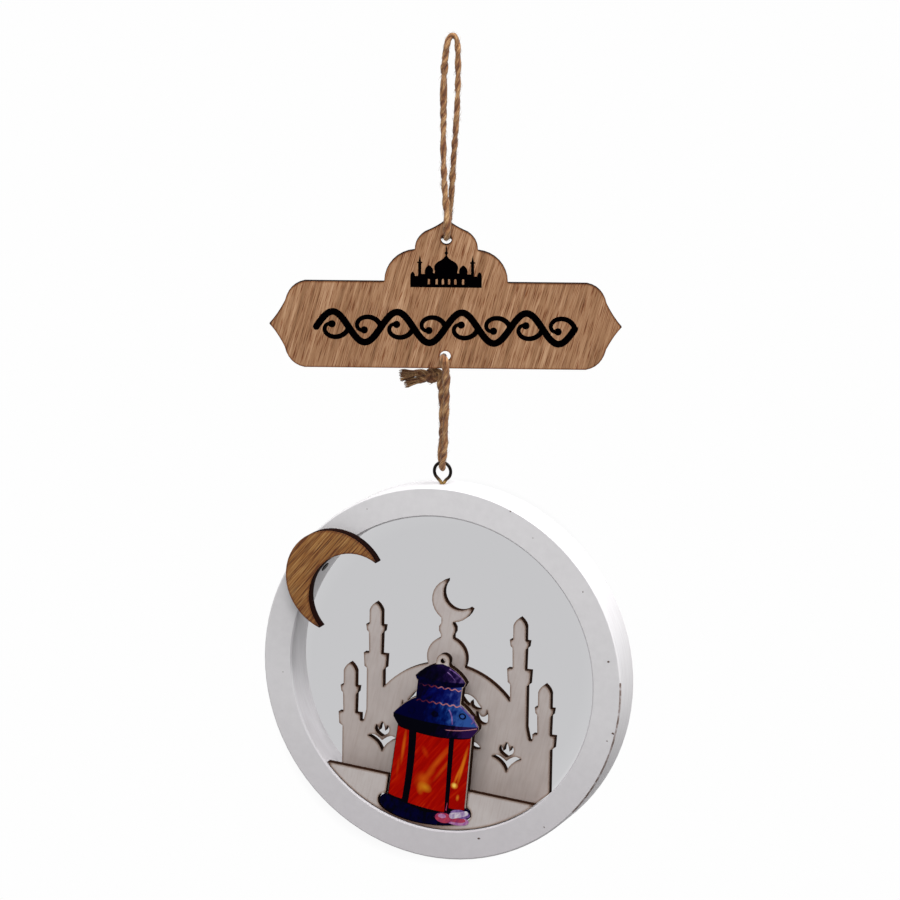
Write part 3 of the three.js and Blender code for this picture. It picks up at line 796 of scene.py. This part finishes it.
# White emulsion rolled on fibreboard: soft and even, but streaked round the turned walls, and darkened
# towards the bottom of the frame by painted shade
def emulsion(name, cell, stops):
    material, tree = newMaterial(name, whiteFrame["roughness"])
    clouds = grain(tree, cell, detail=4)
    colour = addNode(tree, "ValToRGB", {"stops": stops}, {"Fac": clouds})
    # Painted shade: darker towards the bottom of the frame
    lower = slope(tree, (0, 0, whiteFrame["shadeFrom"]), downwards, whiteFrame["shadeReach"])
    colour = toned(tree, colour, whiteFrame["bottomShade"], lower)
    return surfaced(material, colour, clouds, whiteFrame["coatDepth"], whiteFrame["relief"])


def chipOutline(x, z, size):
    outline = []
    for i in range(whiteFrame["chipCorners"]):
        angle = 2 * math.pi * i / whiteFrame["chipCorners"]
        right = size * random.uniform(*whiteFrame["chipWide"]) * math.cos(angle)
        up = size * random.uniform(*whiteFrame["chipHigh"]) * math.sin(angle)
        outline.append((x + right, z + up))
    return outline


def roundFrame():
    random.seed(31)
    coats = [emulsion(name, *look) for name, look in whiteFrame["coats"].items()]
    ring = sheetPiece("roundFrame", "ring_frame", whiteFrame["edge"], *coats)
    # Painted shade with a brown tint of wear: the front's bevel at the lower right takes the darkened edge
    # coat
    least, most = whiteFrame["overEdge"]
    for polygon in ring.data.polygons:
        out = polygon.center - framePlace.translation
        angle = math.degrees(math.atan2(out.z, out.x))
        inward = polygon.normal.x * out.x + polygon.normal.z * out.z < 0
        # Painted shade: the inner wall takes the darker coat
        if polygon.material_index == 1 and inward:
            polygon.material_index = 2
        elif least < -polygon.normal.y < most and whiteFrame["shadedEdgeFrom"] < angle < whiteFrame["shadedEdgeTo"]:
            polygon.material_index = 3
    bare = newMaterial("bare brown fibreboard", 0.9, Base_Color=linear(whiteFrame["bare"]))[0]
    chips = [film("chip", [chipOutline(*chip)], framePlace, whiteFrame["chipFront"], bare)
             for chip in whiteFrame["chips"]]
    settled(joined([ring] + chips), "medallion", "ring_paint", "ring_frame")
    print("round frame painted")


roundFrame()

# Cut panels

panel = {
    "edge": 0.12, "roughness": 0.6, "clouds": (11, 11, 11),
    "colours": [(0.3, "#BDB4B1"), (0.5, "#C4BBB8"), (0.7, "#CAC2BF")],
    "veins": (0.7, 0.7, 9), "veinLean": 12,
    "veinStops": [(0.3, "#F6F3F1"), (0.55, "#FFFFFF")],
    "veinDepth": 0.03, "relief": 0.5, "shadeFrom": -212, "shadeReach": 87,
    # painted shade on the building, darker towards its foot
    "buildingPaintedShade": [(0.0, "#FFFEFE"), (0.55, "#F3F0EE"), (1.0, "#E9E3DF")],
    "smokeReach": 1.4,
    "smokeStops": [(0.42, "#64432F"), (0.62, "#CDBAAB"), (0.88, "#FFFFFF")],
    "wall": ("#0C0603", "#341C0E", 0.9),
}


def panels():
    building = paintedSheet("thin white paint on the building", panel, panel["buildingPaintedShade"])
    ground = paintedSheet("thin white paint on the ground", panel)
    wall = charredPlies("laser-cut edge of the panels", panel["wall"])
    pieces = [("mosquePanel", "mosque_panel", building), ("groundPlate", "ground_plate", ground)]
    for name, node, face in pieces:
        piece = sheetPiece(name, node, panel["edge"], face, wall)
        settled(piece, "medallion", "panel_paint", node)
    print("panels painted")


panels()

# Crescent

moon = {
    "edge": 0.3, "grainLean": 40,
    "wall": ("#0A0303", "#220C07", 1.2),
    "glue": "#3E3B39", "beadEdge": 0.1,
    "stain": {
        "roughness": 0.55,
        "bands": (0.6, 0.6, 60),
        "colours": [(0.30, "#784C24"), (0.46, "#8C5C2C"), (0.58, "#9A6A38"), (0.72, "#AC7E4A")],
        "pores": (0.27, 0.27, 10),
        "poreStops": [(0.30, "#6A4424"), (0.40, "#B08A62"), (0.49, "#FFFFFF")],
        "flecks": (0.22, 0.22, 9),
        "fleckStops": [(0.54, "#000000"), (0.70, "#74603E")],
        "smokeReach": 1.2,
        "smokeStops": [(0.45, "#3A200E"), (0.70, "#C8A684"), (0.92, "#FFFFFF")],
    },
}


def crescent():
    face = veneer("brown-stained plywood", moon["stain"], (0, math.radians(moon["grainLean"]), 0))
    wall = charredPlies("laser-cut edge of the crescent", moon["wall"])
    piece = sheetPiece("crescent", "crescent", moon["edge"], face, wall)
    settled(piece, "medallion", "crescent_stain", "crescent")
    # The bead's dark grey is partly painted shade under the crescent's edge
    glue = newMaterial("bead of hot glue, dark grey with painted shade", 0.3, Base_Color=linear(moon["glue"]))[0]
    bead = sheetPiece("glueBead", "crescent_glue_bead", moon["beadEdge"], glue, glue)
    bpy.ops.object.shade_smooth()
    settled(bead, "medallion", "glue", "crescent_glue_bead")
    print("crescent stained")


crescent()

# Screw eye, from the middle of its eye: bent wire that closes against its own shank

eye = {
    "wire": 1.3, "wide": 3.4, "high": 3.5, "bend": (-34, 214),
    "start": [(0.75, -4.5), (1.25, -3.6)],
    "end": [(-1.2, -3.6), (-0.35, -4.7), (0, -5.6)],
    "below": 4.9, "above": 0.3, "shank": 1.8, "length": 8.0, "around": 24,
    "pitch": 1.0, "rowsPerTurn": 12, "thread": 0.2, "flank": 3.2, "threadFrom": 0.6, "threadEnds": 1,
    "taper": 1.6, "point": 0.05,
    "patina": (1.6, 1.6, 1.6), "patinaDepth": 0.02, "relief": 0.4,
    "bareFrom": 0.5, "bareReach": 6, "bareShare": 0.75,
    "colours": [(0.35, "#1A1614"), (0.55, "#3C2E22"), (0.8, "#A8864E")],
}


# Dark above, and rubbed bare towards the frame
def darkSteel(name):
    material, tree = newMaterial(name, 0.3, Metallic=1.0)
    patina = grain(tree, eye["patina"])
    bare = slope(tree, (0, 0, eyeZ + eye["bareFrom"]), downwards, eye["bareReach"])
    mixed = addNode(tree, "MixRGB", {"Fac": eye["bareShare"]}, {"Color1": patina, "Color2": bare})
    colour = addNode(tree, "ValToRGB", {"stops": eye["colours"]}, {"Fac": mixed})
    return surfaced(material, colour, patina, eye["patinaDepth"], eye["relief"])


# The shank with its thread: one section turned on along a screw line
def threadedShank():
    length, around = eye["length"], eye["around"]
    root = eye["shank"] / 2 - eye["thread"]
    top = eyeZ - eye["below"] + eye["above"]
    rows = int(length / eye["pitch"] * eye["rowsPerTurn"])
    vertices = []
    for i in range(rows + 1):
        down = length * i / rows
        taper = min(1, (length - down) / eye["taper"] + eye["point"])
        depth = eye["thread"] if eye["threadFrom"] < down < length - eye["threadEnds"] else 0
        for j in range(around):
            phase = (down / eye["pitch"] + j / around) % 1
            radius = (root + depth * max(0, 1 - abs(phase - 0.5) * eye["flank"])) * taper
            angle = 2 * math.pi * j / around
            vertices.append(Vector((radius * math.cos(angle), radius * math.sin(angle), top - down)) * mm)
    # Its rings run downwards, so its faces are turned over
    faces = [face[:1] + face[:0:-1] for face in tubeFaces(0, rows + 1, around)]
    piece = meshPiece("shank", vertices, faces)
    bpy.ops.object.shade_smooth_by_angle(angle=math.radians(50))
    return piece


def screwEye():
    route = eye["start"] + arc(0, 0, eye["wide"], eye["high"], *eye["bend"], 16) + eye["end"]
    curve = smoothCurve("eyeWire", [Vector((x, 0, eyeZ + z)) * mm for x, z in route])
    curve.bevel_depth = eye["wire"] / 2 * mm
    curve.bevel_resolution = 5
    curve.use_fill_caps = True
    bent = meshed("screwEye", curve)
    bpy.ops.object.shade_smooth()
    piece = joined([bent, threadedShank()])
    piece.data.materials.clear()
    piece.data.materials.append(darkSteel("tarnished brass-plated steel wire"))
    settled(piece, "medallion", "eye_steel", "screw_eye")
    print("screw eye bent")


screwEye()

# Printed lantern: a cut sheet with layers of ink, drawn up from the middle of its foot

lantern = {
    "foot": (-5.4, -55.9), "roll": 6, "skew": 0.05, "front": 7.06,
    "layer": 0.012, "edge": 0.1,
    "wall": ("#0C0604", "#2E1A0C", 0.9),
    "roughness": 0.6, "specular": 0.02, "inkDepth": 0.01, "relief": 0.3,
    "clouds": (1.3, 1.3, 2.6), "cloudLean": 25,
    "inks": {
        "navy": [(0.36, "#00000A"), (0.66, "#02012A")],
        "black": [(0.36, "#000002"), (0.66, "#030008")],
        "lilac": [(0.36, "#5C3C84"), (0.66, "#9474AE")],
        "pink": [(0.36, "#8E2C5C"), (0.66, "#C24458")],
        "blush": [(0.36, "#A060A0"), (0.66, "#D09CBC")],
        "haze": [(0.36, "#9C80B0"), (0.58, "#DCD2DE")],
    },
    "slopes": {
        "capViolet": [(0.36, "#01000A"), (0.50, "#080322"), (0.60, "#1E0E3E"), (0.72, "#544074")],
        "roofBlue": [(0.32, "#00002A"), (0.44, "#000A48"), (0.53, "#062268"), (0.66, "#30569E")],
        "neckBlue": [(0.32, "#02001A"), (0.46, "#03044A"), (0.58, "#0C1A66"), (0.70, "#36448A")],
        "rose": [(0.28, "#1C0A26"), (0.42, "#6C2638"), (0.60, "#C08088")],
        "eaves": [(0.44, "#000006"), (0.58, "#06011C"), (0.72, "#2A1244")],
    },
    "slopeFrom": -8, "slopeReach": 24, "slopeShare": 0.5,
    "overEdge": (0.3, 0.999),  # how squarely a face of the plate's edge looks to the front
    "paneLayer": 5.5,
    "panes": [
        bow((-15.5, 32.6), (-13.0, 31.6), (-10.7, 31.5), 4) + bow((-10.7, 31.5), (-9.5, 17), (-10.4, 3.0))[1:]
        + bow((-10.4, 3.0), (-13.4, 3.1), (-16.2, 4.2), 4)[1:],
        bow((-7.5, 31.1), (0, 30.2), (6.3, 30.8)) + bow((7.9, 0.6), (0.5, 0.4), (-7.7, 1.8))
        + bow((-7.7, 1.8), (-6.5, 16), (-7.5, 31.1))[1:-1],
        bow((8.5, 31.0), (12.0, 31.2), (15.2, 32.4)) + bow((16.1, 2.9), (12.6, 2.3), (9.5, 2.6)),
    ],
    "glass": [(0.30, "#960400"), (0.50, "#A80600"), (0.64, "#B41200"), (0.80, "#C63606")],
    "streaks": (1.0, 1.0, 12), "streakLean": 40, "glowDepth": 9,
    "glowGain": 1.6,
    "glows": [
        (-2.6, 11.6, 4.2, 4.6, 10, 0.32, "#D8560C"), (-2.4, 12.6, 2.6, 2.6, 10, 0.35, "#DC6412"),
        (-1.4, 9.4, 3.4, 2.2, 25, 0.5, "#E0961C"), (-3.2, 8.4, 1.8, 2.8, 0, 0.35, "#DC7C14"),
        (0.0, 15.0, 1.4, 4.0, 42, 0.4, "#D0560E"), (2.6, 20.6, 1.5, 11.0, 38, 0.5, "#D85A12"),
        (5.2, 18.0, 0.9, 8.0, 36, 0.45, "#D0500E"), (-3.0, 23.8, 1.4, 3.0, -25, 0.35, "#CC4008"),
        (10.8, 12.1, 1.7, 1.5, 0, 0.9, "#F4A838"), (10.7, 12.3, 0.9, 1.1, 0, 1.0, "#FFD868"),
        (13.2, 20.5, 0.9, 9.5, 15, 0.8, "#E07818"),
        (12.2, 18.5, 0.7, 7.0, 24, 0.7, "#D86A14"), (12.7, 7.4, 0.8, 1.6, 10, 0.6, "#E08020"),
        (11.4, 16.0, 0.6, 4.0, 20, 0.6, "#DC7016"),
        (-12.2, 24.5, 0.9, 8.5, 8, 0.7, "#D45A12"), (-13.6, 16.0, 0.8, 5.0, 8, 0.35, "#C84408"),
    ],
    "trim": {"rise": 0.35, "waves": 2.2, "steps": 72},
    "spots": [(-0.7, 39.9, 1.5, 0.0), (10.8, 40.9, 1.5, 0.6), (-10.6, 40.0, 1.4, 0.85)],
    "spotFlat": 0.85,
}


def lanternPlace():
    x, z = lantern["foot"]
    skewed = Matrix.Identity(4)
    skewed[2][0] = lantern["skew"]
    rolled = Matrix.Rotation(math.radians(lantern["roll"]), 4, "Y")
    return framePlace @ Matrix.Translation(Vector((x, 0, z)) * mm) @ rolled @ skewed


# Print under a satin varnish; the blues and the violet grow paler to the right
def printedInk(name, stops, sloping=False):
    material, tree = newMaterial(name, lantern["roughness"], Specular_IOR_Level=lantern["specular"])
    clouds = grain(tree, lantern["clouds"], (0, math.radians(lantern["cloudLean"]), 0), 5)
    mixed = clouds
    if sloping:
        paler = slope(tree, (lantern["slopeFrom"], 0, 0), rightwards, lantern["slopeReach"])
        mixed = addNode(tree, "MixRGB", {"Fac": lantern["slopeShare"]}, {"Color1": clouds, "Color2": paler})
    colour = addNode(tree, "ValToRGB", {"stops": stops}, {"Fac": mixed})
    return surfaced(material, colour, clouds, lantern["inkDepth"], lantern["relief"])


# The lit glass: red print with orange beams that lean right, and soft yellow glints
def litGlass(name, place):
    material, tree = newMaterial(name, lantern["roughness"], Specular_IOR_Level=lantern["specular"])
    streaks = grain(tree, lantern["streaks"], (0, math.radians(lantern["streakLean"]), 0), 4)
    colour = addNode(tree, "ValToRGB", {"stops": lantern["glass"]}, {"Fac": streaks})
    for x, z, half, reach, lean, strength, shade in lantern["glows"]:
        middle = place @ (Vector((x, -lantern["front"], z)) * mm) / mm
        axes = ownAxes(tree, middle, (0, math.radians(lean), 0), (half, lantern["glowDepth"], reach))
        glow = addNode(tree, "TexGradient", {"gradient_type": "SPHERICAL"}, {"Vector": axes})
        gain = {"operation": "MULTIPLY", 1: lantern["glowGain"] * strength, "use_clamp": True}
        share = addNode(tree, "Math", gain, {0: glow})
        colour = addNode(tree, "MixRGB", {"Color2": linear(shade)}, {"Fac": share, "Color1": colour})
    return surfaced(material, colour, streaks, lantern["inkDepth"], lantern["relief"])


def wavyTrim(start, end, z):
    trim = lantern["trim"]
    reach = [start + (end - start) * i / trim["steps"] for i in range(trim["steps"] + 1)]
    return [(x, z + trim["rise"] * math.sin(trim["waves"] * x)) for x in reach]


def lanternLayers():
    brim = bow((-10.0, 53.0), (-0.4, 49.6), (9.8, 52.8)) + bow((10.4, 54.4), (0, 52.6), (-10.5, 54.4))
    cap = [
        *bow((-10.5, 54.4), (-7.6, 58.5), (-2.8, 60.1)), (0, 60.6),
        *bow((2.8, 60.0), (7.4, 58.3), (10.4, 54.3)),
        *bow((10.4, 54.3), (0, 52.4), (-10.5, 54.4)),
    ]
    eavesTop = bow((17.8, 37.5), (0.4, 34.6), (-18.0, 37.6))
    roof = [
        *bow((-9.4, 45.4), (-14.0, 42.8), (-18.0, 37.6)), *eavesTop[::-1],
        *bow((17.8, 37.5), (14.0, 42.4), (9.7, 45.1)),
    ]
    band = [
        (-17.9, 36.2), (-16.6, 34.5), *bow((-15.6, 33.2), (0, 29.2), (15.3, 32.6)),
        (16.4, 34.2), (17.7, 36.1), *eavesTop,
    ]
    base = [
        (-17.75, 3.7), (-19.2, 2.7), *arc(-0.4, 1.2, 19.26, 6.67, 180, 360, 36), (18.4, 2.7), (16.95, 3.7),
    ]
    layers = [
        ("navy", base),
        ("black", [(-16.6, 3.4), (-15.6, 33.6), (15.3, 33.4), (16.2, 1.6), (0, -0.9)]),
        ("neckBlue", [(-9.4, 44.6), (-9.4, 52.8), (9.1, 52.8), (9.1, 44.6)]),
        ("capViolet", cap), ("navy", brim), ("roofBlue", roof), ("eaves", band),
        ("rose", stroke(wavyTrim(-8.8, 8.8, 51.0), 0.42)),
        ("rose", stroke(wavyTrim(-9.0, 9.2, 44.5), 0.45)),
        ("lilac", stroke(bow((5.0, 42.4), (6.6, 40.6), (6.9, 37.0)), 0.55)),
        ("lilac", stroke(bow((9.6, 44.6), (13.8, 42.0), (17.4, 37.6)), 0.45)),
        ("lilac", stroke(bow((3.4, 59.0), (6.6, 57.8), (9.2, 55.6)), 0.55, 0.5)),
        ("lilac", stroke(bow((2.6, 57.6), (4.4, 56.6), (5.8, 55.0)), 0.4, 0.3)),
        ("rose", stroke(bow((4.6, 34.2), (11.4, 34.6), (17.2, 36.8)), 0.3)),
        ("lilac", stroke(arc(14.1, 40.2, 1.5, 1.9, -60, 100, 10), 0.45, 0.4)),
        ("blush", arc(13.4, -1.9, 5.2, 2.0, 0, 350, 35)),
        ("pink", arc(12.6, -1.5, 4.6, 1.3, 0, 350, 35)),
        ("pink", arc(7.9, -1.8, 3.6, 2.1, 0, 350, 35)),
        ("blush", arc(7.2, -1.1, 1.7, 0.9, 0, 350, 23)),
        ("lilac", arc(14.7, 0.9, 4.1, 1.75, 0, 350, 35)),
        ("haze", stroke([(11.4, -0.3), (14.2, 0.5), (17.0, 1.6)], 2.5, 0.8)),
        ("pink", stroke([(8.6, 1.6), (8.8, 4.6)], 0.5, 0.4)),
    ]
    for x, z, size, ring in lantern["spots"]:
        layers.append(("navy", arc(x, z, size, size * lantern["spotFlat"], 0, 350, 23)))
        if ring:
            layers.append(("roofBlue", arc(x, z, size * ring, size * ring * lantern["spotFlat"], 0, 340, 17)))
    return layers


def printedLantern():
    place = lanternPlace()
    card = paintedSheet("white-primed plywood card", panel)
    wall = charredPlies("laser-cut edge of the lantern", lantern["wall"])
    plate = sheetPiece("lantern", "lantern_plate", lantern["edge"], card, wall)
    inks = {name: printedInk(name + " print", stops) for name, stops in lantern["inks"].items()}
    for name, stops in lantern["slopes"].items():
        inks[name] = printedInk(name + " print", stops, sloping=True)
    films = [film("print", [outline], place, lantern["front"] + i * lantern["layer"], inks[ink])
             for i, (ink, outline) in enumerate(lanternLayers())]
    # The print runs over the edge at the left and at the foot
    plate.data.materials.append(inks["navy"])
    least, most = lantern["overEdge"]
    for polygon in plate.data.polygons:
        at = place.inverted() @ polygon.center / mm
        if least < -polygon.normal.y < most and (at.x < 0 or at.z < -1):
            polygon.material_index = 2
    glass = litGlass("red and orange print of lit glass", place)
    paneFront = lantern["front"] + lantern["paneLayer"] * lantern["layer"]
    films += [film("pane", [outline], place, paneFront, glass) for outline in lantern["panes"]]
    settled(joined([plate] + films), "medallion", "lantern_print", "lantern_plate")
    print("lantern printed")


printedLantern()

# Light: a pale room, soft lights above and above at the right, and a faint one at the front left

light = {
    "room": 0.31, "air": "#C5C5C7",
    "lamps": [
        ("above and in front", (0.15, -0.62, 0.66), (0.6, 0.5), 0.54),
        ("above", (-0.10, -0.03, 0.95), (0.8, 0.16), 0.35),
        ("above at the right", (0.60, -0.04, 0.90), (0.7, 0.2), 0.85),
        ("front left", (-0.80, -1.10, 0.25), (0.3, 0.3), 0.10),
    ],
    "aim": (0, 0, -0.2), "frameWay": (-0.3460, 0.9027, -0.2559), "frameTurn": 20.97,
    "frameStretch": 1.08, "airTo": 0.0388, "whiteFrom": 0.0440,
    "white": "#FEFEFE",
}


def addLamps():
    aim = Vector(light["aim"])
    for name, offset, size, share in light["lamps"]:
        offset = Vector(offset)
        data = bpy.data.lights.new(name, "AREA")
        data.shape = "RECTANGLE"
        data.size, data.size_y = size
        data.energy = share * math.pi ** 2 * offset.length ** 2
        lamp = newPiece(name, data)
        turned = offset.to_track_quat("Z", "Y").to_matrix().to_4x4()
        lamp.matrix_world = Matrix.Translation(aim + offset) @ turned


# White behind it all, but grey in the cone of directions that leads through the frame
def paleRoom():
    world = bpy.data.worlds.new("pale room")
    bpy.context.scene.world = world
    world.use_nodes = True
    tree = world.node_tree
    tree.nodes.clear()
    rays = addNode(tree, "LightPath").outputs
    largest = {"operation": "MAXIMUM"}
    seen = addNode(tree, "Math", largest, {0: rays["Is Camera Ray"], 1: rays["Is Glossy Ray"]})
    seen = addNode(tree, "Math", largest, {0: seen, 1: rays["Is Transmission Ray"]})
    room = addNode(tree, "Background", {"Color": linear("#FFFFFF"), "Strength": light["room"]})
    off = addNode(tree, "Mapping", {
        "vector_type": "TEXTURE", "Location": light["frameWay"], "Scale": (1 / light["frameStretch"], 1, 1),
        "Rotation": (0, 0, math.radians(light["frameTurn"])),
    }, {"Vector": addNode(tree, "TexCoord").outputs["Generated"]})
    off = addNode(tree, "VectorMath", {"operation": "LENGTH"}, {0: off})
    stops = [(light["airTo"], light["air"]), (light["whiteFrom"], light["white"])]
    shade = addNode(tree, "ValToRGB", {"stops": stops}, {"Fac": off.outputs["Value"]})
    air = addNode(tree, "Background", {}, {"Color": shade})
    shown = addNode(tree, "MixShader", {}, {"Fac": seen, 1: room, 2: air})
    addNode(tree, "OutputWorld", {}, {"Surface": shown})


addLamps()
paleRoom()
bpy.context.scene.view_settings.view_transform = "Standard"
print("lights placed")
